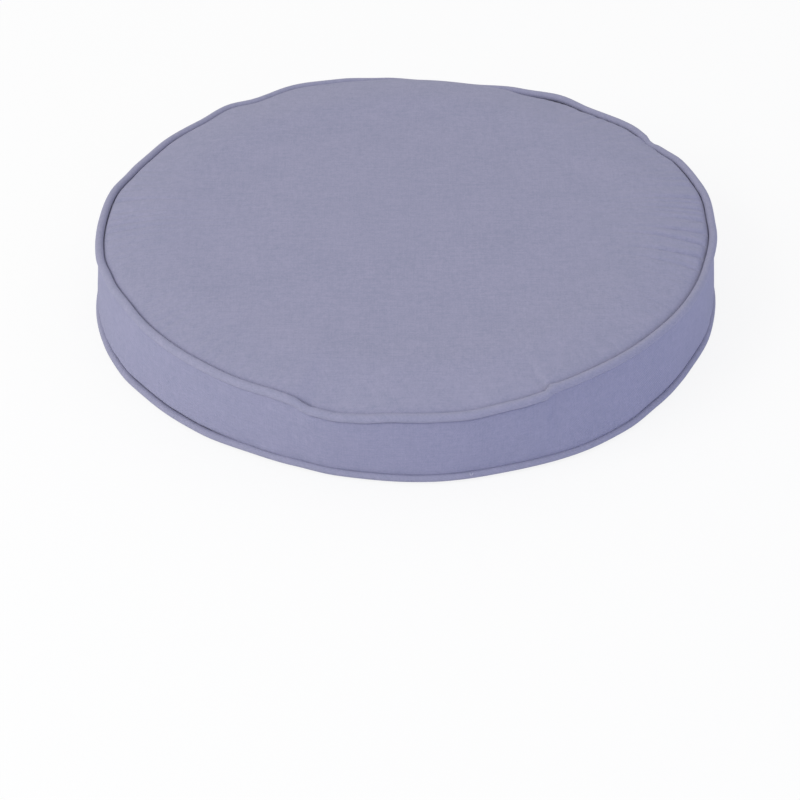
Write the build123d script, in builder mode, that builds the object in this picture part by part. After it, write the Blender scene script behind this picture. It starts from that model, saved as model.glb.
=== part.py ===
from build123d import *
import os
from math import atan2, cos, degrees, radians, sin, sqrt

# Round boxed seat cushion: foam in a piped cloth cover that a zip closes at the back.
# Millimetres. +Z is up, the origin is the middle of the flat underside, the front faces -Y
# and the zip lies along the back of the side band, at +Y.

# Overall sizes
cushion_diameter = 400.0  # over the piping
band_height = 46.0  # from the middle of one piping to the middle of the other
piping_diameter = 5.4
piping_floor_gap = 0.3  # the lower piping hangs this far above the floor

# Cover cloth and its seams
cloth = 0.5
ply_gap = 0.1  # between two plies that lie on each other
seam_allowance = 10.0
cord_clearance = 0.1  # between the piping cord and its sleeve
piping_sides = 8  # flats round the sleeve
cord_sides = 6  # flats round the cord and the sleeve's bore

# Top panel: it climbs from the seam in ever flatter rings to a low crown
shoulder_slope = 13.0  # degrees
shoulder_width = 13.0
blend_slope = 5.5  # degrees
blend_width = 20.0
crown_rise = 2.6  # from the blend to the middle
crown_rings = 2

# Bottom panel: flat, rising a little to its seam
rim_width = 26.0  # from the flat to the seam

# Side band
wall_bulge = 1.2  # the band's middle stands this far outside its seams
wall_flat = 30.0  # height of the upright stretch in the band's middle

# Zip, along the back of the band
zip_teeth = 100  # in each row
tooth_pitch = 3.5
tooth_length = 1.2  # along the zip, at the neck
head_length = 2.0  # along the zip, at the head that hooks behind the other row
tooth_thickness = 2.4
tooth_reach = 1.0  # past the zip's middle
tooth_root = 1.9  # from the zip's middle to the tape's bead
bead_width = 0.8
bead_thickness = 1.2
tape_width = 13.0  # from the bead's edge
tape_thickness = 0.6
zip_gap = 11.0  # between the folded edges of the two strips
strip_hem = 9.0
stop_length = 2.2
end_margin = 9.0  # tape past each end of the teeth

# Zip slider and its pull
slider_length = 11.0
slider_width = 9.4
slider_tail_width = 7.6
plate_thickness = 1.0
slider_clearance = 0.3
tape_slot = 1.0  # between the flanges, where the tapes run out
flange_width = 0.8
slider_corner = 0.7
divider_width = 2.4
divider_length = 3.6
bridge_length = 6.8
bridge_width = 2.2
bridge_thickness = 0.9
bridge_height = 3.0
pull_length = 27.0
pull_width = 7.0
pull_thickness = 1.4
pull_bar = 1.5  # diameter of the bar that turns under the bridge
pull_eye_length = 4.2
pull_eye_width = 3.4
pull_hole = 3.0  # diameter of the hole near the pull's free end
pull_lift = 0.4  # the pull lies this far above the slider's plate

# Foam
foam_clearance = 0.2

# Worked out from the sizes above
piping_radius = piping_diameter / 2
piping_ring = cushion_diameter / 2 - piping_radius
low_piping = piping_floor_gap + piping_radius
high_piping = low_piping + band_height
middle = low_piping + band_height / 2
ply_step = cloth + ply_gap
touch = piping_radius + ply_gap  # a face of cloth that lies on the piping
low_face = cloth + ply_gap  # the face of a seam allowance that lies on the piping's flange
high_face = low_face + cloth + ply_step  # the outer face of a panel folded back over it
wall_radius = piping_ring + wall_bulge  # outer face of the band
hem_radius = wall_radius - ply_step  # outer face of the strips' turned-in hems
tape_face = hem_radius - ply_step
tape_radius = tape_face - tape_thickness / 2
tooth_angle = degrees(tooth_pitch / tape_radius)
teeth_span = zip_teeth * tooth_angle
margin_angle = degrees(end_margin / tape_radius)
zip_middle = 90.0  # azimuth of the zip's middle, at the back
teeth_start = zip_middle - teeth_span / 2
zip_start = teeth_start - margin_angle
zip_span = teeth_span + 2 * margin_angle
seam_gap = degrees(ply_gap / wall_radius)

os.makedirs("parts", exist_ok=True)


def section_plane(azimuth):
    """Upright plane through the axis: its x runs outwards at that azimuth, its y runs up."""
    a = radians(azimuth)
    return Plane(origin=(0, 0, 0), x_dir=(cos(a), sin(a), 0), z_dir=(sin(a), -cos(a), 0))


def tangent_plane(azimuth, radius):
    """Plane on the zip: x runs along it, y runs up and z points out of the cushion."""
    a = radians(azimuth)
    place = (radius * cos(a), radius * sin(a), middle)
    return Plane(origin=place, x_dir=(-sin(a), cos(a), 0), z_dir=(cos(a), sin(a), 0))


def edge_point(height, side, slope):
    """Places at a piped edge: inwards along the piping's flange, and off it to the outside.

    side is 1 at the top edge and -1 at the bottom one.
    """
    a = radians(slope)

    def at(inwards, off):
        r = piping_ring - inwards * cos(a) + off * sin(a)
        return (r, height + side * (inwards * sin(a) + off * cos(a)))

    return at


def at_piping(off, reach):
    """How far inwards of the piping's middle a face off the flange meets a circle round it."""
    return sqrt(reach**2 - off**2)

def save(part, name):
    part.label = name
    export_step(part, f"parts/{name}.step")


def crown_path(start, inset):
    """Adds the line over the top of the cushion, from a place on the shoulder to the axis."""
    shoulder = Line(start, top_edge(shoulder_width, high_face - inset))
    blend_rise = blend_width * sin(radians(blend_slope))
    blend = Line(shoulder @ 1, shoulder @ 1 + (-blend_width * cos(radians(blend_slope)), blend_rise))
    shares = [ring / crown_rings for ring in range(crown_rings, -1, -1)]
    rim = blend @ 1
    return Polyline(*[(rim.X * share, rim.Y + crown_rise * (1 - share**2)) for share in shares])


def panel_hem_path(edge, inset):
    """Adds one face of a panel's seam allowance and of its fold at the piping."""
    fold_start = edge(at_piping(low_face, touch) + inset, low_face + inset)
    fold_end = edge(at_piping(high_face, touch) + inset, high_face - inset)
    path = Polyline(edge(allowance_end, low_face + inset), fold_start, fold_end)
    return path @ 0, path @ 1


def wall_path(edge, side, height, wall_end, inset):
    """Adds one face of the band: its seam allowance, its tuck under the piping and its wall."""
    off = -low_face - inset
    reach = touch + inset
    corner = reach / cos(radians(22.5))  # the tuck's flats lie on the piping
    flat_start = (wall_radius - inset, middle + side * wall_flat / 2)
    tuck = []
    for a in [22.5, 67.5]:
        tuck.append((piping_ring - corner * cos(radians(a)), height - side * corner * sin(radians(a))))
    path = Polyline(
        edge(allowance_end, off),
        edge(at_piping(off, corner), off),
        *tuck,
        (piping_ring - inset, height - side * reach),
        flat_start,
        (wall_radius - inset, wall_end),
    )
    return path @ 0, path @ 1


bottom_slope = degrees(atan2(low_piping - high_face, rim_width))
top_edge = edge_point(high_piping, 1, shoulder_slope)
bottom_edge = edge_point(low_piping, -1, bottom_slope)
allowance_end = piping_radius + seam_allowance

# Top panel: its edge is turned under and sewn in above the piping's flange
with BuildPart() as top_panel:
    with BuildSketch(Plane.XZ):
        with BuildLine():
            outer_start, outer_fold = panel_hem_path(top_edge, 0)
            inner_start, inner_fold = panel_hem_path(top_edge, cloth)
            Line(outer_start, inner_start)
            outer_crown = crown_path(outer_fold, 0)
            inner_crown = crown_path(inner_fold, cloth)
            Line(outer_crown @ 1, inner_crown @ 1)
        make_face()
    revolve(axis=Axis.Z)
save(top_panel.part, "top_panel")

# Bottom panel: flat where it rests, its rim rises to the lower piping
flat_radius = piping_ring - rim_width
with BuildPart() as bottom_panel:
    with BuildSketch(Plane.XZ):
        with BuildLine():
            outer_start, outer_fold = panel_hem_path(bottom_edge, 0)
            inner_start, inner_fold = panel_hem_path(bottom_edge, cloth)
            Line(outer_start, inner_start)
            Polyline(outer_fold, (flat_radius, 0), (0, 0), (0, cloth), (flat_radius, cloth), inner_fold)
        make_face()
    revolve(axis=Axis.Z)
save(bottom_panel.part, "bottom_panel")

# Side band: one strip of cloth round the front and sides, from one end of the zip to the other
edges = [(top_edge, 1, high_piping), (bottom_edge, -1, low_piping)]
with BuildPart() as side_band:
    with BuildSketch(section_plane(zip_start + zip_span + seam_gap)):
        for edge, side, height in edges:
            with BuildLine():
                outer_start, outer_end = wall_path(edge, side, height, middle, 0)
                inner_start, inner_end = wall_path(edge, side, height, middle, cloth)
                Line(outer_start, inner_start)
                Line(outer_end, inner_end)
            make_face()
    revolve(axis=Axis.Z, revolution_arc=360 - zip_span - 2 * seam_gap)
save(side_band.part, "side_band")

# Zip strips: the band's two halves at the back, each with its edge turned in along the zip
hem_face = hem_radius - cloth
for name, (edge, side, height) in zip(["zip_strip_upper", "zip_strip_lower"], edges):
    hem_end = middle + side * (zip_gap / 2 + strip_hem)
    with BuildPart() as zip_strip:
        with BuildSketch(section_plane(zip_start)):
            with BuildLine():
                starts = []
                ends = []
                for inset in [0, cloth]:
                    strip_edge = middle + side * (zip_gap / 2 + inset)
                    start, end = wall_path(edge, side, height, strip_edge, inset)
                    hem = Polyline(end, (hem_face + inset, strip_edge), (hem_face + inset, hem_end))
                    starts.append(start)
                    ends.append(hem @ 1)
                Line(*starts)
                Line(*ends)
            make_face()
        revolve(axis=Axis.Z, revolution_arc=zip_span)
    save(zip_strip.part, name)

# Piping: a cloth sleeve round a cord, its two plies going into the seam as a flange
bore_radius = piping_radius - cloth
for name, (edge, side, height) in zip(["top_piping", "bottom_piping"], edges):
    turn = -side * (shoulder_slope if side > 0 else bottom_slope)
    flange_corners = [edge(inwards, cloth) for inwards in (0, allowance_end)]
    flange_corners += [edge(inwards, -cloth) for inwards in (allowance_end, 0)]
    with BuildPart() as sleeve:
        with BuildSketch(Plane.XZ):
            with Locations((piping_ring, height)):
                RegularPolygon(piping_radius, piping_sides, rotation=turn)
            Polygon(*flange_corners, align=None)
            with Locations((piping_ring, height)):
                RegularPolygon(bore_radius, cord_sides, rotation=turn, mode=Mode.SUBTRACT)
        revolve(axis=Axis.Z)
    save(sleeve.part, f"{name}_sleeve")
    with BuildPart() as cord:
        with BuildSketch(Plane.XZ):
            with Locations((piping_ring, height)):
                RegularPolygon(bore_radius - cord_clearance, cord_sides, rotation=turn)
        revolve(axis=Axis.Z)
    save(cord.part, f"{name}_cord")

# Zip tapes: woven strips behind the hems, each with a bead along its edge that carries the teeth
for name, side in [("upper", 1), ("lower", -1)]:
    with BuildPart() as zip_tape:
        with BuildSketch(section_plane(zip_start)):
            with Locations((tape_radius, middle + side * (tooth_root + tape_width / 2))):
                Rectangle(tape_thickness, tape_width)
            with Locations((tape_radius, middle + side * (tooth_root + bead_width / 2))):
                Rectangle(bead_thickness, bead_width)
        revolve(axis=Axis.Z, revolution_arc=zip_span)
    save(zip_tape.part, f"zip_tape_{name}")

    # Teeth: each has a head past the zip's middle that hooks behind two heads of the other row,
    # which stands half a pitch on
    first_tooth = teeth_start + tooth_angle * (0.5 - side * 0.25)
    with BuildPart() as teeth:
        for low, high, length in [(-tooth_reach, 0, head_length), (0, tooth_root, tooth_length)]:
            with BuildSketch(Plane.XY.offset(middle + side * low)):
                with PolarLocations(tape_radius, zip_teeth, first_tooth, teeth_span, endpoint=False):
                    Rectangle(tooth_thickness, length)
            extrude(amount=side * (high - low))
    save(teeth.part, f"zip_teeth_{name}")

# Zip slider: two plates over the chain, joined by the divider in its leading end
slider_front = -slider_length / 2
divider_end = slider_front + slider_clearance + divider_length
slider_azimuth = teeth_start + degrees((-slider_clearance - divider_end) / tape_radius)
slider_plane = tangent_plane(slider_azimuth, tape_radius)
channel_half = tooth_thickness / 2 + slider_clearance
slider_half = channel_half + plate_thickness
waist_start = -slider_length / 10
waist_end = slider_length / 5


def slider_outline(inset, past):
    """Corners of the slider seen from outside, drawn in by inset and run past its ends."""
    front_half = slider_width / 2 - inset
    tail_half = slider_tail_width / 2 - inset
    right = [(slider_front - past, front_half), (waist_start, front_half)]
    right += [(waist_end, tail_half), (slider_length / 2 + past, tail_half)]
    return right + [(x, -y) for x, y in reversed(right)]


with BuildPart() as slider_body:
    with BuildSketch(slider_plane):
        Polygon(*slider_outline(0, 0), align=None)
    extrude(amount=slider_half, both=True)
    fillet(slider_body.edges().filter_by(Axis((0, 0, 0), slider_plane.z_dir)), slider_corner)
    with BuildSketch(slider_plane):
        Polygon(*slider_outline(flange_width, 1), align=None)
    extrude(amount=channel_half, both=True, mode=Mode.SUBTRACT)
    with BuildSketch(slider_plane):
        Rectangle(slider_length + 2, slider_width + 2)
    extrude(amount=tape_slot / 2, both=True, mode=Mode.SUBTRACT)
    with BuildSketch(slider_plane):
        with BuildLine():
            divider_front = slider_front + slider_clearance
            widest = divider_front + divider_length / 3
            Polyline(
                (divider_front, 0),
                (widest, divider_width / 2),
                (divider_end, 0),
                (widest, -divider_width / 2),
                close=True,
            )
        make_face()
    extrude(amount=channel_half, both=True)
save(slider_body.part, "zip_slider_body")

# Bridge: the arch on the slider's outer plate that keeps the pull's bar
bridge_plane = Plane(origin=slider_plane.origin, x_dir=slider_plane.x_dir, z_dir=(0, 0, -1))
with BuildPart() as slider_bridge:
    with BuildSketch(bridge_plane):
        with Locations((0, slider_half + bridge_height / 2)):
            Rectangle(bridge_length, bridge_height)
        with Locations((0, slider_half + (bridge_height - bridge_thickness) / 2)):
            Rectangle(
                bridge_length - 2 * bridge_thickness,
                bridge_height - bridge_thickness,
                mode=Mode.SUBTRACT,
            )
    extrude(amount=bridge_width / 2, both=True)
save(slider_bridge.part, "zip_slider_bridge")

# Pull: a flat tab whose bar turns under the bridge
bar_height = slider_half + pull_lift + pull_bar / 2
pull_plane = Plane(
    origin=slider_plane.from_local_coords((0, 0, bar_height)),
    x_dir=slider_plane.x_dir,
    z_dir=slider_plane.z_dir,
)
with BuildPart() as pull_tab:
    with BuildSketch(pull_plane):
        with Locations(((pull_length - pull_width / 2) / 2, 0)):
            Rectangle(pull_length - pull_width / 2, pull_width)
        with Locations((pull_length - pull_width / 2, 0)):
            Circle(pull_width / 2)
            Circle(pull_hole / 2, mode=Mode.SUBTRACT)
        with Locations(((pull_bar / 2 + pull_eye_length) / 2, 0)):
            Rectangle(pull_bar / 2 + pull_eye_length, pull_eye_width, mode=Mode.SUBTRACT)
    extrude(amount=pull_thickness / 2, both=True)
    with BuildSketch(Plane(origin=pull_plane.origin, x_dir=pull_plane.x_dir, z_dir=(0, 0, 1))):
        Circle(pull_bar / 2)
    extrude(amount=pull_width / 2, both=True)
save(pull_tab.part, "zip_pull_tab")

# Stops: a block on each bead beyond the closed slider, and one across the open end of the teeth
stop_start = slider_front - slider_clearance - stop_length / 2
top_stop_azimuth = slider_azimuth + degrees(stop_start / tape_radius)
with BuildPart() as top_stops:
    with BuildSketch(tangent_plane(top_stop_azimuth, tape_radius)):
        for side in [1, -1]:
            with Locations((0, side * (tooth_root - tooth_reach / 2))):
                Rectangle(stop_length, tooth_reach)
    extrude(amount=tooth_thickness / 2, both=True)
save(top_stops.part, "zip_top_stops")

bottom_stop_azimuth = teeth_start + teeth_span + degrees((slider_clearance + stop_length / 2) / tape_radius)
with BuildPart() as bottom_stop:
    with BuildSketch(tangent_plane(bottom_stop_azimuth, tape_radius)):
        Rectangle(stop_length, 2 * tooth_root)
    extrude(amount=tooth_thickness / 2, both=True)
save(bottom_stop.part, "zip_bottom_stop")

# Foam core: fills the cover and is relieved behind the zip
foam_inset = cloth + foam_clearance
ply_clear = low_face + foam_inset  # past the innermost ply of a seam
piping_clear = 1.2 * (touch + foam_inset)
foam_side = wall_radius - foam_inset
foam_seam = piping_ring - foam_inset
with BuildPart() as foam_core:
    with BuildSketch(Plane.XZ):
        with BuildLine():
            corners = [
                (0, foam_inset),
                (flat_radius, foam_inset),
                bottom_edge(allowance_end + foam_clearance, -ply_clear),
                bottom_edge(piping_clear, -ply_clear),
                (foam_seam, low_piping + piping_clear),
                (foam_side, middle - wall_flat / 2),
                (foam_side, middle + wall_flat / 2),
                (foam_seam, high_piping - piping_clear),
                top_edge(piping_clear, -ply_clear),
                top_edge(allowance_end + foam_clearance, -ply_clear),
            ]
            Polyline(*corners)
            step = Line(corners[-1], top_edge(allowance_end + foam_clearance, high_face - foam_inset))
            crown = crown_path(step @ 1, foam_inset)
            Line(crown @ 1, corners[0])
        make_face()
    revolve(axis=Axis.Z)
    tape_relief = tape_radius - bead_thickness / 2 - foam_clearance
    slider_relief = tape_radius - slider_half - slider_clearance
    reliefs = [
        (tape_relief, 2 * (tooth_root + tape_width + slider_clearance)),
        (slider_relief, slider_width + 4 * slider_clearance),
    ]
    for inner_radius, relief_height in reliefs:
        with BuildSketch(section_plane(zip_start)):
            with Locations(((inner_radius + wall_radius) / 2, middle)):
                Rectangle(wall_radius - inner_radius, relief_height)
        revolve(axis=Axis.Z, revolution_arc=zip_span, mode=Mode.SUBTRACT)
save(foam_core.part, "foam_core")
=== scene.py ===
import bpy
from math import atan2, cos, degrees, exp, hypot, pi, radians, sin
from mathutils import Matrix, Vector, noise


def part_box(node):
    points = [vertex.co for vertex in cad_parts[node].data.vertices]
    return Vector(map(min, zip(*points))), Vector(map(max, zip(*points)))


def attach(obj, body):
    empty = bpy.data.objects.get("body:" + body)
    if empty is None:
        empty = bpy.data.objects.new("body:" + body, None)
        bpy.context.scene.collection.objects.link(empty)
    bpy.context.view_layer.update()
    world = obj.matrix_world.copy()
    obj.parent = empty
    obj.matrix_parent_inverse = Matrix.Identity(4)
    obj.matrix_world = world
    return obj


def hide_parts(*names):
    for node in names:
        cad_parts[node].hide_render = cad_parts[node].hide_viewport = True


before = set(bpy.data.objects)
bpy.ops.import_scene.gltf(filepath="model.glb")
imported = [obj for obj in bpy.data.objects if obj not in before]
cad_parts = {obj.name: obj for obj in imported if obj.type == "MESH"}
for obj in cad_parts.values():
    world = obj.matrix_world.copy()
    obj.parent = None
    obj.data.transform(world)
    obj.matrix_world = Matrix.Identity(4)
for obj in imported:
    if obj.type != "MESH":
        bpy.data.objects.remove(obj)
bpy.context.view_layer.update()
mm = 0.001
tiny = 0.01 * mm  # points closer than this are one point


def middleOf(node):
    low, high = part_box(node)
    return (low + high) / 2


def azimuthAt(radius, x):  # where a circle of this radius reaches x
    return degrees(atan2((radius**2 - x**2) ** 0.5, x))


# Places read from the frame
sleeveLow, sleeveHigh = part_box("bottom_piping_sleeve")
pipingRadius = (sleeveHigh.z - sleeveLow.z) / 2
pipingRing = sleeveHigh.x - pipingRadius
upperZ = middleOf("top_piping_cord").z
lowerZ = middleOf("bottom_piping_cord").z
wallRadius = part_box("side_band")[1].x
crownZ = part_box("top_panel")[1].z
zipZ = middleOf("zip_slider_body").z
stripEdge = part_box("zip_strip_upper")[0].z - zipZ
zipStart = azimuthAt(wallRadius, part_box("zip_strip_upper")[1].x)
zipSpan = 180 - 2 * zipStart
clothThickness = 0.5 * mm


def startClean():
    if bpy.context.object and bpy.context.object.mode != "OBJECT":
        bpy.ops.object.mode_set(mode="OBJECT")
    bpy.ops.object.select_all(action="DESELECT")


def pick(piece):
    startClean()
    piece.select_set(True)
    bpy.context.view_layer.objects.active = piece


def spinProfile(name, profile, startAzimuth=0, span=360, steps=360):  # drawn point by point, then spun
    startClean()
    bpy.ops.mesh.primitive_plane_add(size=10 * mm)
    piece = bpy.context.object
    piece.name = name
    bpy.ops.object.mode_set(mode="EDIT")
    bpy.ops.mesh.select_mode(type="VERT")
    bpy.ops.mesh.select_all(action="SELECT")
    bpy.ops.mesh.merge(type="CENTER")
    bpy.ops.mesh.select_all(action="SELECT")
    a = radians(startAzimuth)
    spots = [Vector((r * cos(a), r * sin(a), z)) for r, z in profile]
    bpy.ops.transform.translate(value=spots[0])
    for before, after in zip(spots, spots[1:]):
        bpy.ops.mesh.extrude_vertices_move(TRANSFORM_OT_translate={"value": after - before})
    bpy.ops.mesh.select_all(action="SELECT")
    bpy.ops.mesh.spin(steps=steps, angle=radians(span), center=(0, 0, 0), axis=(0, 0, -1))
    bpy.ops.mesh.select_all(action="SELECT")
    bpy.ops.mesh.remove_doubles(threshold=tiny)
    bpy.ops.mesh.normals_make_consistent(inside=False)
    bpy.ops.object.mode_set(mode="OBJECT")
    bpy.ops.object.shade_smooth()
    return piece


def finishWith(piece, kind, **settings):
    pick(piece)
    modifier = piece.modifiers.new(kind.lower(), kind)
    for key, value in settings.items():
        setattr(modifier, key, value)
    bpy.ops.object.modifier_apply(modifier=modifier.name)


def azimuthOf(p):
    return degrees(atan2(p.y, p.x)) % 360


def turnFrom(a, b):  # degrees from b to a, the shorter way round
    return (a - b + 180) % 360 - 180


def turnBetween(a, b):
    return abs(turnFrom(a, b))


def smooth(x):
    x = min(max(x, 0), 1)
    return x * x * (3 - 2 * x)


stepsPerDegree = 10


def roundTable(stations):  # eases from one station to the next round the edge
    table = []
    for step in range(360 * stepsPerDegree):
        azimuth = step / stepsPerDegree
        before = [s for s in stations if s[0] <= azimuth] or [stations[-1]]
        after = [s for s in stations if s[0] > azimuth] or [stations[0]]
        a, b = before[-1], after[0]
        share = smooth(((azimuth - a[0]) % 360) / ((b[0] - a[0]) % 360))
        table.append([p + (q - p) * share for p, q in zip(a[1:], b[1:])])
    return table


def along(table, azimuth):
    step = azimuth * stepsPerDegree
    k = int(step)
    here, ahead = table[k % len(table)], table[(k + 1) % len(table)]
    return [p + (q - p) * (step - k) for p, q in zip(here, ahead)]


# The sewn edges wander: azimuth in degrees, then mm outwards and mm upwards
upperWander = roundTable([
    (0, -1.2, 0.6), (14, 2.6, 0), (24, 3.3, 0), (30, 1.6, -1.0), (33, 0.2, -1.9), (36, 2.2, -0.3),
    (39, 2.8, 0.3), (50, 0.4, 0), (57, 1.8, 1.0), (66, 0.2, -0.8), (77, -0.8, -3.2), (86, -0.6, -3.0),
    (95, 0, -1.2), (104, 0.6, 0.4), (113, 1.5, 1.2), (123, -0.8, -0.2), (129, 2.0, 0.3), (137, -1.0, -0.2),
    (146, -0.6, 0), (153, -1.6, 0), (160, -0.8, 0), (168, 1.5, 0), (178, 0.6, 0), (190, 0.5, 0.3),
    (198, -1.5, 0.5), (208, -3.0, 1.5), (217, -2.6, 1.2), (230, -2.0, 1.6), (240, -1.6, 1.0),
    (246, -1.5, 1.3), (249, -0.9, 0.7), (253.6, 1.4, -3.0), (257.5, 2.0, -4.0), (262, 2.0, -3.2),
    (267, 1.5, -1.6), (279, 1.5, -2.0), (288, 0.4, -0.3), (294.2, -0.6, 0.4), (295.4, -2.6, 2.2),
    (307, -4.0, 2.6), (322, -4.6, 2.6), (335, -4.4, 1.6), (345, -4.0, 1.0),
])
lowerWander = roundTable([
    (0, 1.4, 0), (20, 0.8, 0), (90, 0, 0), (150, 1.0, 0), (170, 3.0, 0), (190, 3.7, 0.2), (199, 3.5, 0.2),
    (208, 3.0, 0), (218, 1.0, 0), (230, 0, 0), (242, -2.0, 0.2), (250, -1.6, 0.2), (258, 0, 0),
    (275, 1.8, 0), (287, 0.6, 0), (302, 1.8, 0), (311, 1.2, 0), (320, -0.8, 0), (333, -1.6, 0),
    (345, 0.2, 0),
])


def shift(p, wander, outShare=1.0, upShare=None):  # moves a point with the edge beside it
    out, up = along(wander, azimuthOf(p))
    r = hypot(p.x, p.y)
    if r < tiny:
        return p.copy()
    k = (r + out * mm * outShare) / r
    return Vector((p.x * k, p.y * k, p.z + up * mm * (outShare if upShare is None else upShare)))


def push(p, outwards):
    r = max(hypot(p.x, p.y), tiny)
    return Vector((p.x * (r + outwards) / r, p.y * (r + outwards) / r, p.z))


def raised(p, height):
    return p + Vector((0, 0, height))


def onRing(azimuth, z=0):  # a place round the edge, for noise
    return Vector((cos(radians(azimuth)), sin(radians(azimuth)), z))


def moveVertices(piece, rule):
    for v in piece.data.vertices:
        v.co = rule(v.co.copy())
    piece.data.update()


def layUv(piece, rule):  # the cloth's own coordinates, in metres
    for old in list(piece.data.uv_layers):
        piece.data.uv_layers.remove(old)
    layer = piece.data.uv_layers.new(name="cloth")
    spots = [v.co.copy() for v in piece.data.vertices]
    for face in piece.data.polygons:
        corners = [spots[piece.data.loops[k].vertex_index] for k in face.loop_indices]
        turns = [azimuthOf(p) for p in corners]
        for k, p, turn in zip(face.loop_indices, corners, turns):
            if turn < 90 and max(turns) > 270:  # the face that closes the ring
                turn += 360
            layer.data[k].uv = rule(p, turn)


def wear(piece, material, body="cushion"):
    piece.data.materials.clear()
    piece.data.materials.append(material)
    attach(piece, body)


# Materials
def newMaterial(name):
    material = bpy.data.materials.new(name)
    material.use_nodes = True
    tree = material.node_tree
    return material, tree.nodes, tree.links, tree.nodes["Principled BSDF"]


def addNode(nodes, kind, inputs=None, **settings):
    node = nodes.new(kind)
    for key, value in settings.items():
        setattr(node, key, value)
    for key, value in (inputs or {}).items():
        node.inputs[key].default_value = value
    return node


def placeNodes(nodes, links, source="Object", turn=0.0):
    place = addNode(nodes, "ShaderNodeTexCoord")
    mapping = addNode(nodes, "ShaderNodeMapping", {"Rotation": (0, 0, turn)})
    links.new(place.outputs[source], mapping.inputs["Vector"])
    return mapping.outputs["Vector"]


def stretched(nodes, links, place, scale):
    mapping = addNode(nodes, "ShaderNodeMapping", {"Scale": scale})
    links.new(place, mapping.inputs["Vector"])
    return mapping.outputs["Vector"]


def noiseNode(nodes, links, place, scale, detail=2.0):
    grain = addNode(nodes, "ShaderNodeTexNoise", {"Scale": scale, "Detail": detail})
    links.new(place, grain.inputs["Vector"])
    return grain.outputs["Fac"]


def mathNode(nodes, links, operation, *values):
    node = addNode(nodes, "ShaderNodeMath", operation=operation)
    for k, value in enumerate(values):
        if isinstance(value, (int, float)):
            node.inputs[k].default_value = value
        else:
            links.new(value, node.inputs[k])
    return node.outputs[0]


wavePeriod = pi / 10  # of a wave texture at scale 1


def waveNode(nodes, links, place, direction, pitch):  # runs from -1 to 1
    wave = addNode(nodes, "ShaderNodeTexWave", {"Scale": wavePeriod / pitch}, bands_direction=direction)
    links.new(place, wave.inputs["Vector"])
    return mathNode(nodes, links, "MULTIPLY_ADD", wave.outputs["Fac"], 2, -1)


def colourFrom(nodes, links, fac, low, high, shader):
    ramp = addNode(nodes, "ShaderNodeValToRGB")
    ramp.color_ramp.elements[0].color = (*low, 1)
    ramp.color_ramp.elements[1].color = (*high, 1)
    links.new(fac, ramp.inputs["Fac"])
    links.new(ramp.outputs["Color"], shader.inputs["Base Color"])


def roughBetween(nodes, links, fac, low, high, shader):
    span = addNode(nodes, "ShaderNodeMapRange", {"To Min": low, "To Max": high})
    links.new(fac, span.inputs["Value"])
    links.new(span.outputs["Result"], shader.inputs["Roughness"])


def bumpFrom(nodes, links, height, distance, shader, strength=1.0):
    bump = addNode(nodes, "ShaderNodeBump", {"Strength": strength, "Distance": distance})
    links.new(height, bump.inputs["Height"])
    links.new(bump.outputs["Normal"], shader.inputs["Normal"])


weave = {
    "threadPitch": 0.55 * mm, "depth": 0.08 * mm, "bump": 0.7, "rough": (0.82, 0.98),
    # The band's tint darkens its copy of the cloth, red and green most: painted shade for the dimmer light
    # on the side band.
    "cool": (0.272, 0.284, 0.402), "warm": (0.370, 0.358, 0.496), "bandPaintedShade": (0.955, 0.96, 1.0),
    "darkest": -1.15, "toneShares": (0.4, 1.0, 0.7, 0.22, 0.7, 0.5), "slubHeight": 0.9,
    "yarnScale": 1300.0, "yarnStretch": ((0.05, 1, 1), (1, 0.05, 1)),
    "mottleScale": 42.0, "slubScale": 850.0, "fleckScale": 260.0,
    "specular": 0.15, "sheen": 0.10, "sheenRough": 0.5,
}


def clothMaterial(name, source="Object", turn=0.0, tint=(1, 1, 1)):  # plain weave of lavender yarns
    material, nodes, links, shader = newMaterial(name)
    place = placeNodes(nodes, links, source, turn)
    warp = waveNode(nodes, links, place, "X", 2 * weave["threadPitch"])
    weft = waveNode(nodes, links, place, "Y", 2 * weave["threadPitch"])
    over = mathNode(nodes, links, "MULTIPLY", warp, weft)  # which yarn lies on top
    streaks = []
    for stretch in weave["yarnStretch"]:  # thicker and thinner yarns in both directions
        drawn = stretched(nodes, links, place, stretch)
        streaks.append(noiseNode(nodes, links, drawn, weave["yarnScale"]))
    mottle = noiseNode(nodes, links, place, weave["mottleScale"], 3.0)
    slub = noiseNode(nodes, links, place, weave["slubScale"], 2.0)
    fleck = noiseNode(nodes, links, place, weave["fleckScale"], 3.0)
    tone = weave["darkest"]
    for grain, share in zip((mottle, slub, fleck, over, *streaks), weave["toneShares"]):
        tone = mathNode(nodes, links, "MULTIPLY_ADD", grain, share, tone)
    # A tint scales both colours; the band's tint is painted shade.
    low = [c * k for c, k in zip(weave["cool"], tint)]
    high = [c * k for c, k in zip(weave["warm"], tint)]
    colourFrom(nodes, links, tone, low, high, shader)
    roughBetween(nodes, links, slub, *weave["rough"], shader)
    height = mathNode(nodes, links, "MULTIPLY_ADD", slub, weave["slubHeight"], over)
    bumpFrom(nodes, links, height, weave["depth"], shader, weave["bump"])
    shader.inputs["Specular IOR Level"].default_value = weave["specular"]
    shader.inputs["Sheen Weight"].default_value = weave["sheen"]
    shader.inputs["Sheen Roughness"].default_value = weave["sheenRough"]
    return material


tapeLook = {
    "turn": radians(45), "twillPitch": 1.2 * mm, "yarnPitch": 0.5 * mm, "fuzzScale": 1200.0,
    "twillShare": 0.2, "yarnHeight": 0.4,
    "dark": (0.21, 0.21, 0.34), "light": (0.30, 0.30, 0.45), "rough": (0.7, 0.9), "depth": 0.12 * mm,
}


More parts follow.
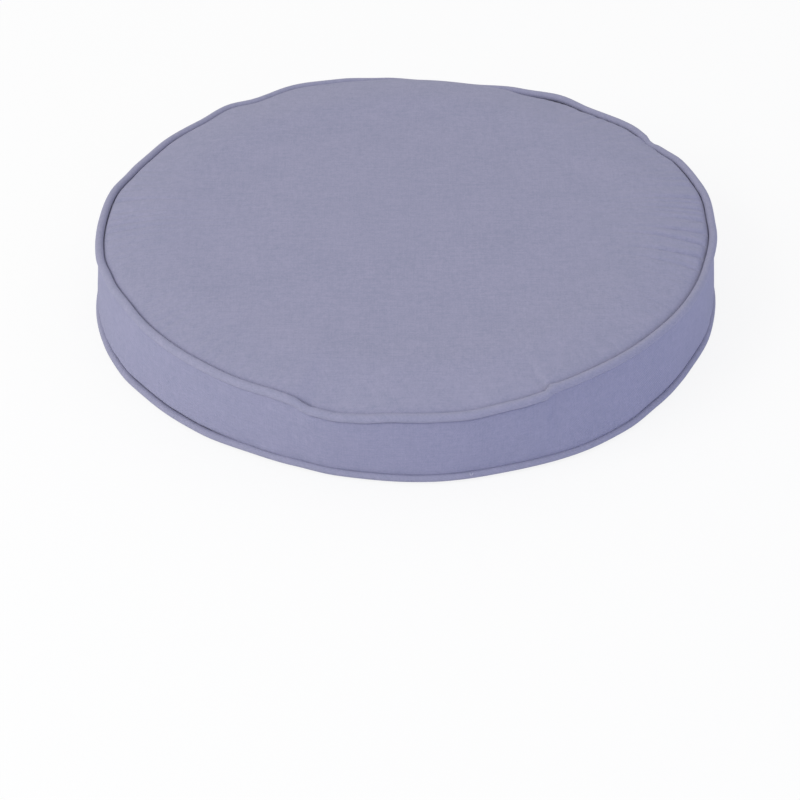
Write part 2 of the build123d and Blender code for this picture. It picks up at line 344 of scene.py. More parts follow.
def tapeMaterial():  # herringbone zip tape
    material, nodes, links, shader = newMaterial("zip tape herringbone")
    place = placeNodes(nodes, links, "UV", tapeLook["turn"])
    twill = waveNode(nodes, links, place, "X", tapeLook["twillPitch"])
    yarn = waveNode(nodes, links, place, "Y", tapeLook["yarnPitch"])
    fuzz = noiseNode(nodes, links, place, tapeLook["fuzzScale"])
    tone = mathNode(nodes, links, "MULTIPLY_ADD", twill, tapeLook["twillShare"], fuzz)
    colourFrom(nodes, links, tone, tapeLook["dark"], tapeLook["light"], shader)
    roughBetween(nodes, links, fuzz, *tapeLook["rough"], shader)
    height = mathNode(nodes, links, "MULTIPLY_ADD", yarn, tapeLook["yarnHeight"], twill)
    bumpFrom(nodes, links, height, tapeLook["depth"], shader)
    return material


plasticLook = {
    "hazeScale": 300.0, "dark": (0.27, 0.27, 0.42), "light": (0.33, 0.33, 0.48), "rough": (0.3, 0.48),
    "depth": 0.03 * mm, "bump": 0.4,
}


def plasticMaterial():  # moulded zip teeth
    material, nodes, links, shader = newMaterial("moulded plastic")
    place = placeNodes(nodes, links)
    haze = noiseNode(nodes, links, place, plasticLook["hazeScale"], 3.0)
    colourFrom(nodes, links, haze, plasticLook["dark"], plasticLook["light"], shader)
    roughBetween(nodes, links, haze, *plasticLook["rough"], shader)
    bumpFrom(nodes, links, haze, plasticLook["depth"], shader, plasticLook["bump"])
    return material


metalLook = {
    "brushStretch": (1, 1, 14), "brushScale": 500.0, "brushShare": 0.5, "wearScale": 180.0,
    "dark": (0.50, 0.49, 0.47), "light": (0.72, 0.71, 0.69), "rough": (0.24, 0.46),
    "depth": 0.02 * mm, "bump": 0.5,
}


def metalMaterial():  # brushed nickel-plated slider
    material, nodes, links, shader = newMaterial("brushed nickel")
    place = placeNodes(nodes, links)
    drawn = stretched(nodes, links, place, metalLook["brushStretch"])
    brush = noiseNode(nodes, links, drawn, metalLook["brushScale"], 4.0)
    wearMarks = noiseNode(nodes, links, place, metalLook["wearScale"], 3.0)
    tone = mathNode(nodes, links, "MULTIPLY_ADD", brush, metalLook["brushShare"], wearMarks)
    colourFrom(nodes, links, tone, metalLook["dark"], metalLook["light"], shader)
    roughBetween(nodes, links, brush, *metalLook["rough"], shader)
    bumpFrom(nodes, links, brush, metalLook["depth"], shader, metalLook["bump"])
    shader.inputs["Metallic"].default_value = 1.0
    return material


foamLook = {
    "cellScale": 900.0, "cellShare": 0.5, "ageScale": 30.0,
    "dark": (0.62, 0.57, 0.42), "light": (0.82, 0.79, 0.68), "rough": (0.9, 1.0), "depth": 0.4 * mm,
}


def foamMaterial():  # pale open-cell foam
    material, nodes, links, shader = newMaterial("open cell foam")
    place = placeNodes(nodes, links)
    cells = addNode(nodes, "ShaderNodeTexVoronoi", {"Scale": foamLook["cellScale"]})
    links.new(place, cells.inputs["Vector"])
    age = noiseNode(nodes, links, place, foamLook["ageScale"])
    tone = mathNode(nodes, links, "MULTIPLY_ADD", cells.outputs["Distance"], foamLook["cellShare"], age)
    colourFrom(nodes, links, tone, foamLook["dark"], foamLook["light"], shader)
    roughBetween(nodes, links, age, *foamLook["rough"], shader)
    bumpFrom(nodes, links, cells.outputs["Distance"], foamLook["depth"], shader)
    return material


cordLook = {
    "turn": radians(40), "twistPitch": 1.6 * mm, "twistShare": 0.25, "lintScale": 900.0,
    "dark": (0.60, 0.58, 0.53), "light": (0.80, 0.79, 0.75), "rough": (0.85, 1.0), "depth": 0.25 * mm,
}


def cordMaterial():  # twisted cotton filler cord
    material, nodes, links, shader = newMaterial("cotton cord")
    place = placeNodes(nodes, links, "UV", cordLook["turn"])
    twist = waveNode(nodes, links, place, "X", cordLook["twistPitch"])
    lint = noiseNode(nodes, links, place, cordLook["lintScale"])
    tone = mathNode(nodes, links, "MULTIPLY_ADD", twist, cordLook["twistShare"], lint)
    colourFrom(nodes, links, tone, cordLook["dark"], cordLook["light"], shader)
    roughBetween(nodes, links, lint, *cordLook["rough"], shader)
    bumpFrom(nodes, links, twist, cordLook["depth"], shader)
    return material


threadLook = {"plyScale": 2500.0, "rough": (0.45, 0.7), "depth": 0.06 * mm}


def threadMaterial(name, low, high):
    material, nodes, links, shader = newMaterial(name)
    place = placeNodes(nodes, links)
    ply = noiseNode(nodes, links, place, threadLook["plyScale"])
    colourFrom(nodes, links, ply, low, high, shader)
    roughBetween(nodes, links, ply, *threadLook["rough"], shader)
    bumpFrom(nodes, links, ply, threadLook["depth"], shader)
    return material


panelCloth = clothMaterial("panel cloth")
# The side band and zip strips wear a darkened, bluer copy of the panel cloth: painted shade standing in for
# the dimmer light on the walls.
bandCloth = clothMaterial("band cloth with painted shade", "UV", tint=weave["bandPaintedShade"])
pipingCloth = clothMaterial("piping cloth on the bias", "UV", radians(45))
zipTape = tapeMaterial()
zipPlastic = plasticMaterial()
zipMetal = metalMaterial()
openFoam = foamMaterial()
cottonCord = cordMaterial()
sewingThread = threadMaterial("sewing thread", (0.25, 0.26, 0.42), (0.40, 0.40, 0.58))
looseThread = threadMaterial("loose thread end", (0.44, 0.44, 0.54), (0.62, 0.62, 0.70))
print("materials made")

# Top panel: blown up off its sewn rim, then gathered where the seam takes in spare cloth
panel = {
    "rings": 12, "steps": 240, "ringEase": 1.8, "middle": 5 * mm, "middleEdge": 3 * mm,
    "tuck": 2.0 * mm, "turnedIn": 8 * mm, "rimClear": 0.5 * mm, "rimEase": 4 * mm,
    "shoulderRise": 5.0 * mm, "shoulderLength": 7.0 * mm,
    "crownGap": 0.3 * mm, "crownRadius": 60 * mm, "liftEase": 90 * mm,
    "swell": 1.4 * mm, "swellEase": 60 * mm, "swellCap": 5 * mm, "heldRim": 9 * mm,
    "pressure": 4.0, "frames": 20, "simQuality": 5, "simMass": 0.3,
    "follow": 26 * mm, "followEase": 1.5, "backFollow": 4 * mm, "looseFollow": 9 * mm, "looseShare": 0.2,
    "backAt": 86, "backWidth": 17, "backPuff": 1.8 * mm, "backRise": 5 * mm, "backReach": 30 * mm,
    "slack": 0.4 * mm, "slackScale": 14, "slackEase": 25 * mm, "groove": 1.9 * mm, "slump": 6 * mm,
    "gatherLength": 27 * mm, "lengthScale": 17, "lengthShift": 5.2, "lengthSpread": 0.6,
    "gatherPitch": 9.0 * mm, "pitchScale": 9, "pitchSpread": 1.1,
    "gatherDepth": 3.2 * mm, "depthScale": 21, "depthShift": 1.7, "depthShare": 0.8, "depthSpread": 0.9,
    "gatherRise": 0.3, "gatherSharp": 1.4,
    "creaseWidth": 1.8 * mm, "foldWidth": 7.0 * mm, "foldRise": 0.42, "leanOver": 25 * mm,
}
gathers = [  # azimuth, degrees to either side, share of the depth
    (2, 24, 0.45), (174, 14, 0.9), (222, 20, 0.22), (318, 26, 0.15), (125, 24, 0.15), (48, 12, 0.25),
]
creases = [  # azimuth at the rim, degrees it leans over 25 mm, mm deep, mm long
    (17, 0, 1.6, 28), (9.2, 0, 3.0, 34), (1.2, 0, 2.4, 28), (356.8, -0.6, 3.0, 32),
    (352.3, 0.5, 4.0, 40), (348.1, -0.8, 3.8, 38), (343.6, -0.4, 2.8, 34),
]
panelEdge = roundTable([  # azimuth, mm from the piping's middle, mm the cloth dives beside it
    (0, 2.5, 2.2), (20, 2.5, 2.5), (29, 2.4, 2.2), (33, 0.8, 0.6), (38, 2.8, 3.2), (45, 3.2, 3.6),
    (57, 3.4, 3.6), (64, 3.0, 3.2), (70, 1.2, 0.6), (86, 0.8, 0.0), (104, 1.2, 0.5), (115, 1.5, 0.9),
    (135, 1.8, 1.3), (150, 2.3, 1.9), (170, 2.6, 2.5), (190, 2.5, 2.3), (200, 2.5, 2.3), (215, 2.6, 2.6),
    (230, 2.75, 3.0), (246, 2.75, 3.0), (253, 3.0, 3.9), (254.4, 2.3, 2.0), (263, 2.2, 1.4),
    (290, 2.2, 1.2), (310, 2.2, 1.5), (335, 2.2, 1.9),
])
slumps = roundTable([  # azimuth, mm the rim sinks below the piping
    (40, 0), (53, 0.8), (58, 2.4), (64, 2.8), (69, 0.8), (74, 0), (359, 0),
])
looseRim = roundTable([  # azimuth, share in which the rim keeps its own line
    (0, 0), (25, 0.8), (40, 1), (105, 1), (128, 0), (359, 0),
])


def panelHeight(t):  # above the piping's middle, t in from it
    crownRise = crownZ - upperZ - panel["shoulderRise"]
    shoulder = panel["shoulderRise"] * (1 - exp(-t / panel["shoulderLength"]))
    return crownRise * (1 - (1 - t / pipingRing) ** 2) + shoulder


def seamRule(p):  # the rim follows the piping
    t = max(pipingRing - hypot(p.x, p.y) - panel["tuck"], 0)
    atBack = exp(-((turnBetween(azimuthOf(p), panel["backAt"]) / panel["backWidth"]) ** 2))
    loose = along(looseRim, azimuthOf(p))[0]
    upLength = panel["follow"] + (panel["backFollow"] - panel["follow"]) * loose
    outLength = panel["follow"] + (panel["looseFollow"] - panel["follow"]) * loose
    outShare = (1 - panel["looseShare"] * loose) * exp(-((t / outLength) ** panel["followEase"]))
    moved = shift(p, upperWander, outShare, exp(-((t / upLength) ** panel["followEase"])))
    moved.z += panel["backPuff"] * atBack * smooth(t / panel["backRise"]) * exp(-t / panel["backReach"])
    return moved


def creaseDepth(azimuth, t):  # sharp creases, the cloth rising a little to either side
    drawn = 0
    for at, lean, depth, length in creases:
        aside = turnFrom(azimuth - at, lean * t / panel["leanOver"]) * pi / 180 * pipingRing
        crease = exp(-abs(aside) / panel["creaseWidth"])
        fold = panel["foldRise"] * exp(-((aside / panel["foldWidth"]) ** 2))
        drawn += depth * mm * (crease - fold) * exp(-((t / (length * mm)) ** 2))
    return drawn


def gatherRule(p):  # puckers and the dive beside the piping, after the cloth has settled
    azimuth = azimuthOf(p)
    t = max(pipingRing - panel["tuck"] + along(upperWander, azimuth)[0] * mm - hypot(p.x, p.y), 0)
    tuck, dive = along(panelEdge, azimuth)
    share = sum(s * exp(-((turnBetween(azimuth, a) / w) ** 2)) for a, w, s in gathers)
    around = onRing(azimuth)
    stray = panel["pitchSpread"] * noise.noise(around * panel["pitchScale"])
    turns = radians(azimuth) * pipingRing / panel["gatherPitch"] + stray
    uneven = noise.noise(raised(around * panel["depthScale"], panel["depthShift"]))
    sink = (1 - abs(sin(pi * turns))) ** panel["gatherSharp"]
    ridge = panel["gatherRise"] - sink * (panel["depthShare"] + panel["depthSpread"] * uneven)
    spread = noise.noise(raised(around * panel["lengthScale"], panel["lengthShift"]))
    reach = panel["gatherLength"] * (1 + panel["lengthSpread"] * spread)
    offRim = smooth((t - panel["rimClear"]) / panel["rimEase"])
    fade = offRim * exp(-max(t - panel["rimEase"], 0) / reach)
    moved = push(p, (panel["tuck"] - tuck * mm) * exp(-t / panel["rimEase"]))
    moved.z += panel["gatherDepth"] * share * ridge * fade - dive * mm * exp(-t / panel["groove"])
    moved.z += panel["slack"] * noise.noise(p * panel["slackScale"]) * smooth(t / panel["slackEase"])
    slump = along(slumps, azimuth)[0] * mm * exp(-t / panel["slump"])
    moved.z -= slump + creaseDepth(azimuth, t) * offRim
    return moved


def swellCloth(piece, heldFrom):  # cloth pinned at its rim and pressed up by the foam
    held = piece.vertex_groups.new(name="held")
    held.add([v.index for v in piece.data.vertices if hypot(v.co.x, v.co.y) > heldFrom], 1.0, "REPLACE")
    start = [v.co.copy() for v in piece.data.vertices]
    pick(piece)
    cloth = piece.modifiers.new("cloth", "CLOTH")
    cloth.settings.quality = panel["simQuality"]
    cloth.settings.mass = panel["simMass"]
    cloth.settings.vertex_group_mass = "held"
    cloth.settings.use_pressure = True
    cloth.settings.uniform_pressure_force = panel["pressure"]
    cloth.settings.effector_weights.gravity = 0
    for step in range(1, panel["frames"] + 1):
        bpy.context.scene.frame_set(step)
    bpy.ops.object.modifier_apply(modifier=cloth.name)
    bpy.context.scene.frame_set(1)
    moves = []
    for v, before in zip(piece.data.vertices, start):
        move = v.co - before
        moves.append(move.length)
        v.co = before + move * min(1, panel["swellCap"] / max(move.length, tiny))
    piece.vertex_groups.clear()
    print("panel swelled, largest move in mm:", round(max(moves) / mm, 2))


def inFromRing(p, ease):  # 0 at the piping, 1 from ease inwards
    return smooth((pipingRing - hypot(p.x, p.y)) / ease)


sweep = pipingRing - panel["tuck"] - panel["middle"]
shares = [k / panel["rings"] for k in range(panel["rings"] + 1)]
insets = [panel["tuck"] + sweep * share ** panel["ringEase"] for share in shares]
profile = [(pipingRing - t, upperZ + panelHeight(t)) for t in insets]
topPanel = spinProfile("topPanel", profile, steps=panel["steps"])
moveVertices(topPanel, lambda p: raised(p, -panel["swell"] * inFromRing(p, panel["swellEase"])))
swellCloth(topPanel, pipingRing - panel["heldRim"])
crown = [v.co.z for v in topPanel.data.vertices if hypot(v.co.x, v.co.y) < panel["crownRadius"]]
lift = crownZ - panel["crownGap"] - max(crown)
moveVertices(topPanel, lambda p: raised(p, lift * inFromRing(p, panel["liftEase"])))
finishWith(topPanel, "SUBSURF", levels=2, render_levels=2)
pick(topPanel)
bpy.ops.object.mode_set(mode="EDIT")
bpy.ops.mesh.select_all(action="DESELECT")
bpy.ops.object.mode_set(mode="OBJECT")
for v in topPanel.data.vertices:
    v.select = hypot(v.co.x, v.co.y) < panel["middle"] + panel["middleEdge"]
bpy.ops.object.mode_set(mode="EDIT")
bpy.ops.mesh.select_mode(type="VERT")
bpy.ops.mesh.edge_face_add()  # the small hole left in the middle closes
bpy.ops.mesh.poke()
bpy.ops.mesh.select_all(action="SELECT")
bpy.ops.mesh.normals_make_consistent(inside=False)
bpy.ops.object.mode_set(mode="OBJECT")
moveVertices(topPanel, lambda p: gatherRule(seamRule(p)))
finishWith(topPanel, "SOLIDIFY", thickness=clothThickness, offset=-1)
wear(topPanel, panelCloth)
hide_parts("top_panel")
print("top panel made")

# Bottom panel: flat where it rests
bottom = {
    "steps": 360, "rings": 12, "flatRadius": 171 * mm, "fade": 24 * mm,
    "rim": [(2.0, -0.4), (3.4, -1.3), (8, -2.0), (16, -2.6)],  # mm in from the lower piping's middle, mm up
}


def bottomRule(p):  # the rim follows the lower piping
    rimIn = pipingRing - bottom["rim"][0][0] * mm - hypot(p.x, p.y)
    return shift(p, lowerWander, 1 - smooth(rimIn / bottom["fade"]))


profile = [(pipingRing - t * mm, lowerZ + z * mm) for t, z in bottom["rim"]]
profile += [(bottom["flatRadius"] * (1 - k / bottom["rings"]), 0) for k in range(bottom["rings"] + 1)]
bottomPanel = spinProfile("bottomPanel", profile, steps=bottom["steps"])
moveVertices(bottomPanel, bottomRule)
finishWith(bottomPanel, "SOLIDIFY", thickness=clothThickness, offset=-1)
wear(bottomPanel, panelCloth)
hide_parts("bottom_panel")
print("bottom panel made")

# Side band round the front, and the two zip strips at the back
band = {
    "steps": 520, "stripSteps": 220, "rows": 30, "stripRows": 16, "stripThin": 0.8,
    "under": 2.4 * mm, "topRoll": 2.4 * mm, "footRoll": 4.0 * mm, "wallDepth": 3 * mm,
    "hem": 9 * mm, "hemGap": 0.1 * mm, "foldRound": 0.35 * mm, "trueFrom": 6 * mm, "trueOver": 9 * mm,
    "seamGap": 0.03, "seamTuck": 0.6 * mm, "seamWidth": 0.9 * mm, "endBlend": 14 * mm,
    "ripple": 1.0 * mm, "rippleScale": 20, "rippleSlant": 6, "rippleRise": 2 * mm, "rippleReach": 8 * mm,
}
wallTucks = roundTable([  # azimuth, mm drawn in under the top piping, mm over the bottom one, mm of climb
    (0, 0.6, 1.4, 0), (40, 0.9, 1.8, 0), (150, 0.9, 1.6, 0), (200, 0.7, 2.3, 0), (214, 0.6, 2.3, 0.2),
    (222, 0.2, 2.3, 1.2), (231, 0, 2.3, 1.3), (241, 0, 0.8, 1.3), (249, 0, 0.7, 1.3), (255, 0.4, 0.7, 0.2),
    (270, 0.5, 0.7, 0), (293, 0.4, 0.8, 0), (299, 0.1, 0.8, 0.9), (322, 0.1, 1.45, 1.2),
    (336, 0.1, 1.4, 1.2), (348, 0.3, 1.4, 0.8),
])
ripples = roundTable([  # azimuth, share
    (60, 0.4), (150, 0.5), (200, 0.5), (228, 1.0), (250, 1.1), (262, 0.5), (300, 0.35), (340, 0.35),
])


def wallTuck(p, azimuth):  # rolls in at both pipings, and climbs beside the top one where the seam is slack
    top, foot, climb = along(wallTucks, azimuth)
    topShare = 1 - smooth((upperZ - band["under"] - p.z) / band["topRoll"])
    footShare = 1 - smooth((p.z - lowerZ - band["under"]) / band["footRoll"])
    return (top * topShare + foot * footShare) * mm, climb * mm * topShare


def wallRipple(p, azimuth):
    gap = min(upperZ - p.z, p.z - lowerZ) - pipingRadius
    wave = noise.noise(onRing(azimuth, p.z * band["rippleSlant"]) * band["rippleScale"])
    wave *= along(ripples, azimuth)[0]
    wave *= smooth(gap / band["rippleRise"])
    wave *= exp(-gap / band["rippleReach"])
    return band["ripple"] * wave


def bandRule(p, start, span, zipSide):
    azimuth = azimuthOf(p)
    endTurn = min(turnBetween(azimuth, start), turnBetween(azimuth, start + span))
    endGap = endTurn * pi / 180 * wallRadius
    upper = smooth((p.z - lowerZ) / (upperZ - lowerZ))
    held = 1 if zipSide else exp(-((endGap / band["endBlend"]) ** 2))  # the cloth stays true along the zip
    hold = smooth((abs(p.z - zipZ) - stripEdge - band["trueFrom"]) / band["trueOver"])
    holdUpper = hold if (zipSide or p.z - zipZ) > 0 else 0
    moved = shift(p, upperWander, upper + (holdUpper - upper) * held)
    moved = shift(moved, lowerWander, 1 - upper + (hold - holdUpper - 1 + upper) * held)
    if hypot(p.x, p.y) > wallRadius - band["wallDepth"]:
        inwards, upwards = wallTuck(p, azimuth)
        seam = band["seamTuck"] * exp(-endGap / band["seamWidth"])
        moved = push(moved, wallRipple(p, azimuth) - inwards - seam)
        moved.z += upwards
    return moved


def makeBand(name, zLow, zHigh, start, span, steps, zipSide=0):
    rows = band["stripRows"] if zipSide else band["rows"]
    profile = [(wallRadius, zHigh + (zLow - zHigh) * k / rows) for k in range(rows + 1)]
    if zipSide:  # the edge along the zip is folded in and runs back behind the strip
        foldZ = zipZ + zipSide * stripEdge
        roundZ = foldZ + zipSide * band["foldRound"]
        hemRadius = wallRadius - 2 * clothThickness - band["hemGap"]
        fold = [(wallRadius, roundZ), ((wallRadius + hemRadius) / 2, foldZ)]
        fold += [(hemRadius, roundZ), (hemRadius, foldZ + zipSide * band["hem"])]
        profile = profile[:-1] + fold if zipSide > 0 else fold[::-1] + profile[1:]
    piece = spinProfile(name, profile, start, span, steps)
    layUv(piece, lambda p, turn: (radians(turn) * wallRadius, p.z + (wallRadius - hypot(p.x, p.y))))
    moveVertices(piece, lambda p: bandRule(p, start, span, zipSide))
    thickness = clothThickness * (band["stripThin"] if zipSide else 1)
    finishWith(piece, "SOLIDIFY", thickness=thickness, offset=-1)
    wear(piece, bandCloth)
    return piece


bandHigh, bandLow = upperZ - band["under"], lowerZ + band["under"]
bandStart, bandSpan = zipStart + zipSpan + band["seamGap"], 360 - zipSpan - 2 * band["seamGap"]
sideBand = makeBand("sideBand", bandLow, bandHigh, bandStart, bandSpan, band["steps"])
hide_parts("side_band")
stripUpper = makeBand("zipStripUpper", zipZ + stripEdge, bandHigh, zipStart, zipSpan, band["stripSteps"], 1)
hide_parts("zip_strip_upper")
stripLower = makeBand("zipStripLower", bandLow, zipZ - stripEdge, zipStart, zipSpan, band["stripSteps"], -1)
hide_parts("zip_strip_lower")
print("band and zip strips made")

# Piping: a cloth sleeve on each edge, with its cord inside
piping = {
    "segments": 256,  # the most that Blender's torus takes
    "sides": 18, "lump": 0.12 * mm, "lumpScale": 60, "pressed": 0.72,
    "cordSides": 12, "cordRadius": 2.0 * mm,
    "lapAt": 294.7, "lapHalf": 1.5, "lapEase": 0.6, "lapRise": 0.45 * mm, "lapSlant": 0.5,
    "nickAt": 0.5, "nickWidth": 0.28, "nickDepth": 1.1 * mm,
}


def makeRing(name, radius, height, sides):
    startClean()
    bpy.ops.mesh.primitive_torus_add(
        major_radius=pipingRing, minor_radius=radius,
        major_segments=piping["segments"], minor_segments=sides,
        location=(0, 0, height), generate_uvs=False,
    )
    ring = bpy.context.object
    ring.name = name
    bpy.ops.object.transform_apply(location=True, rotation=True, scale=True)

    def ringUv(p, turn):  # along the ring, then round its section
        section = pi + atan2(p.z - height, hypot(p.x, p.y) - pipingRing)
        return radians(turn) * pipingRing, radius * section

    layUv(ring, ringUv)
    bpy.ops.object.shade_smooth()
    return ring


def sleeveRule(p, height, lapped):  # small lumps, and the slanted lap where the sleeve's ends meet
    azimuth = azimuthOf(p)
    side, up = hypot(p.x, p.y) - pipingRing, p.z - height
    swell = piping["lump"] * noise.noise(p * piping["lumpScale"])
    if lapped:
        away = azimuth - piping["lapAt"] - piping["lapSlant"] * up / pipingRadius
        swell += piping["lapRise"] * smooth((piping["lapHalf"] - abs(away)) / piping["lapEase"])
        fromNick = away + piping["lapHalf"] * piping["nickAt"]
        swell -= piping["nickDepth"] * exp(-(fromNick / piping["nickWidth"]) ** 2)
    k = 1 + swell / pipingRadius
    moved = push(p, side * (k - 1))
    moved.z = height + up * (k if up > 0 or lapped else 1)
    return moved


def pressedRule(p, height):  # the lower piping is flattened where the cushion rests
    return Vector((p.x, p.y, max(p.z, height + (p.z - height) * piping["pressed"])))


for edge, height, wander in [("top", upperZ, upperWander), ("bottom", lowerZ, lowerWander)]:
    sleeve = makeRing(edge + "PipingSleeve", pipingRadius, height, piping["sides"])
    moveVertices(sleeve, lambda p: shift(sleeveRule(p, height, edge == "top"), wander))
    if edge == "bottom":
        moveVertices(sleeve, lambda p: pressedRule(p, height))
    wear(sleeve, pipingCloth)
    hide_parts(edge + "_piping_sleeve")
    cord = makeRing(edge + "PipingCord", piping["cordRadius"], height, piping["cordSides"])
    moveVertices(cord, lambda p: shift(p, wander))
    if edge == "bottom":
        moveVertices(cord, lambda p: pressedRule(p, height))
    wear(cord, cottonCord)
    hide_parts(edge + "_piping_cord")
print("piping made")

# Foam core: a crowned slab just inside the cover
foam = {
    "steps": 240, "rings": 24, "clear": 1.5 * mm, "side": 192.8 * mm, "edge": 30 * mm, "follow": 0.6,
    "topDrop": 1.5 * mm, "footRise": 3 * mm, "footRound": 1.4 * mm, "footEase": 12 * mm,
}


def foamTop(r):
    return upperZ + panelHeight(pipingRing - r) - foam["clear"] - panel["swell"]


def foamFoot(r):
    return foam["clear"] + foam["footRound"] * smooth((r - bottom["flatRadius"]) / foam["footEase"])


def foamRule(p):  # the upper half follows the seam beside it
    if p.z < zipZ:
        return p
    return shift(p, upperWander, foam["follow"] * exp((hypot(p.x, p.y) - foam["side"]) / foam["edge"]))


across = [foam["side"] * k / foam["rings"] for k in range(foam["rings"])]
profile = [(r, foamTop(r)) for r in across]
profile += [(foam["side"], z) for z in (upperZ - foam["topDrop"], zipZ, lowerZ + foam["footRise"])]
profile += [(r, foamFoot(r)) for r in reversed(across)]
foamCore = spinProfile("foamCore", profile, steps=foam["steps"])
moveVertices(foamCore, foamRule)
wear(foamCore, openFoam)
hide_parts("foam_core")
print("foam made")

# Zip: tapes, teeth, stops, slider and pull at the back
zipper = {
    "tapeSteps": 300, "tapeRows": 8, "beadProud": 0.1 * mm, "closeFrom": 3.5 * mm, "closeOver": 4.0 * mm,
    "closeGap": 0.1 * mm, "edgeSoft": 0.22 * mm, "edgeRounds": 3, "toothSoft": 0.18 * mm, "toothRounds": 1,
    "mergeWithin": 0.005 * mm, "flatAngle": 4, "edgeAngle": 40, "smoothAngle": 35,
}


def closeEnds(p, side, start, outer, near, far):  # past the stops the two tapes are sewn edge to edge
    endGap = min(azimuthOf(p) - start, 180 - start - azimuthOf(p)) * pi / 180 * outer
    share = 1 - smooth((endGap - zipper["closeFrom"]) / zipper["closeOver"])
    nearness = (far - p.z) / (far - near)
    return Vector((p.x, p.y, p.z + (zipZ + side * zipper["closeGap"] - near) * share * nearness))


for side, node, name in [(1, "zip_tape_upper", "zipTapeUpper"), (-1, "zip_tape_lower", "zipTapeLower")]:
    low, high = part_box(node)
    outer = high.y
    near, far = (low.z, high.z) if side > 0 else (high.z, low.z)
    rows = [near + (far - near) * k / zipper["tapeRows"] for k in range(zipper["tapeRows"] + 1)]
    profile = [(outer - (zipper["beadProud"] if k else 0), z) for k, z in enumerate(rows)]
    tapeStart = azimuthAt(outer, high.x)
    tape = spinProfile(name, profile, tapeStart, 180 - 2 * tapeStart, zipper["tapeSteps"])
    layUv(tape, lambda p, turn: (radians(turn) * outer, abs(p.z - zipZ)))
    moveVertices(tape, lambda p: closeEnds(p, side, tapeStart, outer, near, far))
    finishWith(tape, "SOLIDIFY", thickness=clothThickness, offset=-1)
    wear(tape, zipTape)
    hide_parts(node)


def softenedCopy(node, name, width, segments, material, body="cushion"):  # merged, with eased edges
    startClean()
    source = bpy.data.objects[node]
    piece = source.copy()
    piece.data = source.data.copy()
    piece.name = name
    bpy.context.scene.collection.objects.link(piece)
    pick(piece)
    bpy.ops.object.mode_set(mode="EDIT")
    bpy.ops.mesh.select_all(action="SELECT")
    bpy.ops.mesh.remove_doubles(threshold=zipper["mergeWithin"])
    bpy.ops.mesh.dissolve_limited(angle_limit=radians(zipper["flatAngle"]))
    bpy.ops.object.mode_set(mode="OBJECT")
    edgeAngle = radians(zipper["edgeAngle"])
    finishWith(piece, "BEVEL", width=width, segments=segments, limit_method="ANGLE", angle_limit=edgeAngle)
    bpy.ops.object.shade_smooth_by_angle(angle=radians(zipper["smoothAngle"]))
    wear(piece, material, body)
    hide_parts(node)


for node, name in [("zip_teeth_upper", "zipTeethUpper"), ("zip_teeth_lower", "zipTeethLower")]:
    softenedCopy(node, name, zipper["toothSoft"], zipper["toothRounds"], zipPlastic)
for node, name, body in [
    ("zip_top_stops", "zipTopStops", "cushion"), ("zip_bottom_stop", "zipBottomStop", "cushion"),
    ("zip_slider_body", "zipSliderBody", "zip_slider"),
    ("zip_slider_bridge", "zipSliderBridge", "zip_slider"),
    ("zip_pull_tab", "zipPullTab", "zip_pull"),
]:
    softenedCopy(node, name, zipper["edgeSoft"], zipper["edgeRounds"], zipMetal, body)

# Stitches along the zip, and a loop that came loose at the lower seam
stitch = {
    "pitch": 3.0 * mm, "length": 2.3 * mm, "radius": 0.24 * mm, "sides": 6, "rings": 4,
    "inset": 2.2 * mm, "endTurn": 1,
    "looseAt": 280.5, "looseProud": 0.35 * mm, "looseHeight": 0.95,
}


def makeStitches(name, azimuth, radius, height, lean, count=0, span=0, thread=sewingThread):  # one or a row
    a = radians(azimuth)
    startClean()
    bpy.ops.mesh.primitive_uv_sphere_add(
        segments=stitch["sides"], ring_count=stitch["rings"], radius=stitch["radius"],
    )
    stitches = bpy.context.object
    stitches.name = name
    bpy.ops.object.mode_set(mode="EDIT")
    bpy.ops.mesh.select_all(action="SELECT")
    bpy.ops.transform.resize(value=(1, 1, stitch["length"] / stitch["radius"] / 2))
    bpy.ops.transform.rotate(value=radians(lean), orient_axis="X", center_override=(0, 0, 0))
    bpy.ops.transform.rotate(value=-a, orient_axis="Z", center_override=(0, 0, 0))
    bpy.ops.transform.translate(value=(radius * cos(a), radius * sin(a), height))
    if count:
        bpy.ops.mesh.spin(steps=count, dupli=True, angle=radians(span), center=(0, 0, 0), axis=(0, 0, -1))
    bpy.ops.object.mode_set(mode="OBJECT")
    bpy.ops.object.shade_smooth()
    wear(stitches, thread)


rowStart, rowSpan = zipStart + stitch["endTurn"], zipSpan - 2 * stitch["endTurn"]
stitchCount = int(radians(rowSpan) * wallRadius / stitch["pitch"])
for side, name in [(1, "zipStitchesUpper"), (-1, "zipStitchesLower")]:
    stitchZ = zipZ + side * (stripEdge + stitch["inset"])
    makeStitches(name, rowStart, wallRadius, stitchZ, lean=90, count=stitchCount, span=rowSpan)
looseOut = along(lowerWander, stitch["looseAt"])[0] * mm
looseRadius = pipingRing + pipingRadius + stitch["looseProud"] + looseOut
looseZ = lowerZ + pipingRadius * stitch["looseHeight"]
for name, azimuth, lean in [("straySeamThread", 280.3, -22), ("straySeamThreadEnd", 280.65, 22)]:
    makeStitches(name, azimuth, looseRadius, looseZ, lean, thread=looseThread)
print("zip made")

# Studio: pale floor, soft light, the photograph's camera
studio = {
    "cameraAt": (-5.1 * mm, -1.2128, 0.8248), "cameraDown": 37.01, "lens": 100.18, "sensor": 36,
    "sky": 0.71, "lightSize": 1.2, "lightsAim": (0, 0, 30 * mm),
    "keyAt": (-1.5, -0.9, 1.42), "keyPower": 16.8, "keyTint": (1, 1, 1),
    "fillAt": (1.6, -1.0, 0.5), "fillPower": 5.0, "fillTint": (0.12, 0.27, 1.0),
    "floorSize": 8, "floorColour": (0.95, 0.95, 0.95, 1), "floorRough": 0.9, "floorWhite": 0.85,
}
white = (1, 1, 1, 1)


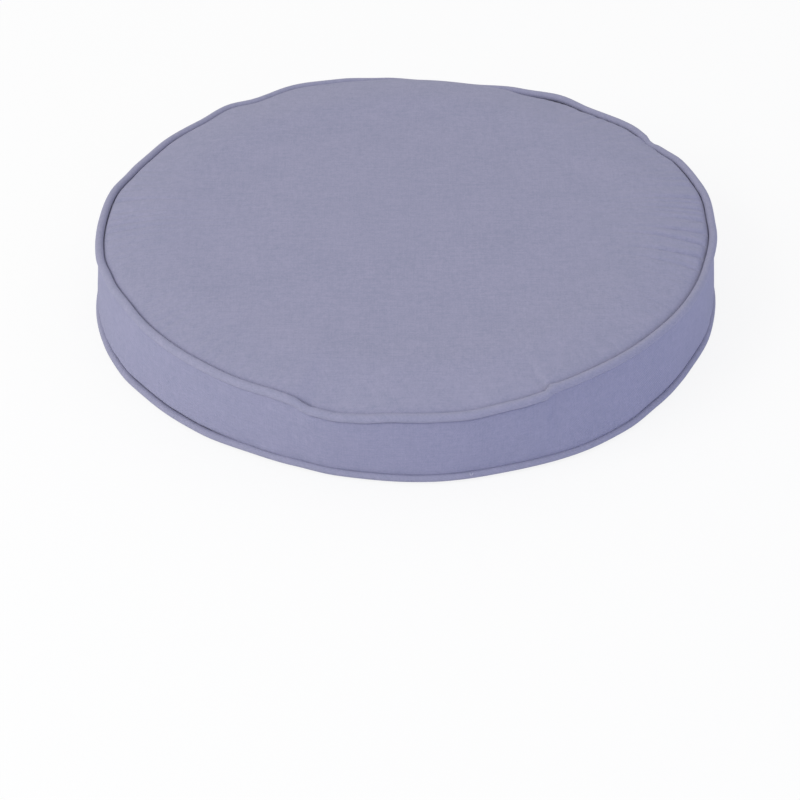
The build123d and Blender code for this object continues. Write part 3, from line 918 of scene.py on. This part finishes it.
def seenDirectly(nodes, links):  # the camera, metal and glass see a white studio
    rays = addNode(nodes, "ShaderNodeLightPath")
    direct = mathNode(nodes, links, "MAXIMUM", rays.outputs["Is Camera Ray"], rays.outputs["Is Glossy Ray"])
    return mathNode(nodes, links, "MAXIMUM", direct, rays.outputs["Is Transmission Ray"])


def blendTo(nodes, links, share, plain, bright, output):
    blendIn = addNode(nodes, "ShaderNodeMixShader")
    links.new(share, blendIn.inputs["Fac"])
    links.new(plain.outputs[0], blendIn.inputs[1])
    links.new(bright.outputs[0], blendIn.inputs[2])
    links.new(blendIn.outputs[0], output.inputs["Surface"])


startClean()
bpy.ops.mesh.primitive_plane_add(size=studio["floorSize"])
floor = bpy.context.object
floor.name = "floor"
floorPaint, nodes, links, shader = newMaterial("pale floor")
shader.inputs["Base Color"].default_value = studio["floorColour"]
shader.inputs["Roughness"].default_value = studio["floorRough"]
glow = addNode(nodes, "ShaderNodeEmission", {"Color": white, "Strength": 1.0})
glowShare = mathNode(nodes, links, "MULTIPLY", seenDirectly(nodes, links), studio["floorWhite"])
blendTo(nodes, links, glowShare, shader, glow, nodes["Material Output"])
floor.data.materials.append(floorPaint)

world = bpy.data.worlds.new("studio")
bpy.context.scene.world = world
world.use_nodes = True
nodes, links = world.node_tree.nodes, world.node_tree.links
backdrop = addNode(nodes, "ShaderNodeBackground", {"Color": white, "Strength": 1.0})
sky = nodes["Background"]
sky.inputs["Color"].default_value = white
sky.inputs["Strength"].default_value = studio["sky"]
blendTo(nodes, links, seenDirectly(nodes, links), sky, backdrop, nodes["World Output"])


def addLight(place, power, tint):
    startClean()
    bpy.ops.object.light_add(type="AREA", location=place)
    light = bpy.context.object
    light.data.energy = power
    light.data.size = studio["lightSize"]
    light.data.color = tint
    aim = Vector(studio["lightsAim"]) - light.location
    light.rotation_euler = aim.to_track_quat("-Z", "Y").to_euler()


addLight(studio["keyAt"], studio["keyPower"], studio["keyTint"])
addLight(studio["fillAt"], studio["fillPower"], studio["fillTint"])

bpy.ops.object.camera_add(location=studio["cameraAt"], rotation=(radians(90 - studio["cameraDown"]), 0, 0))
camera = bpy.context.object
camera.data.sensor_width = studio["sensor"]
camera.data.lens = studio["lens"]
bpy.context.scene.camera = camera
bpy.context.scene.view_settings.view_transform = "Standard"
print("studio made")
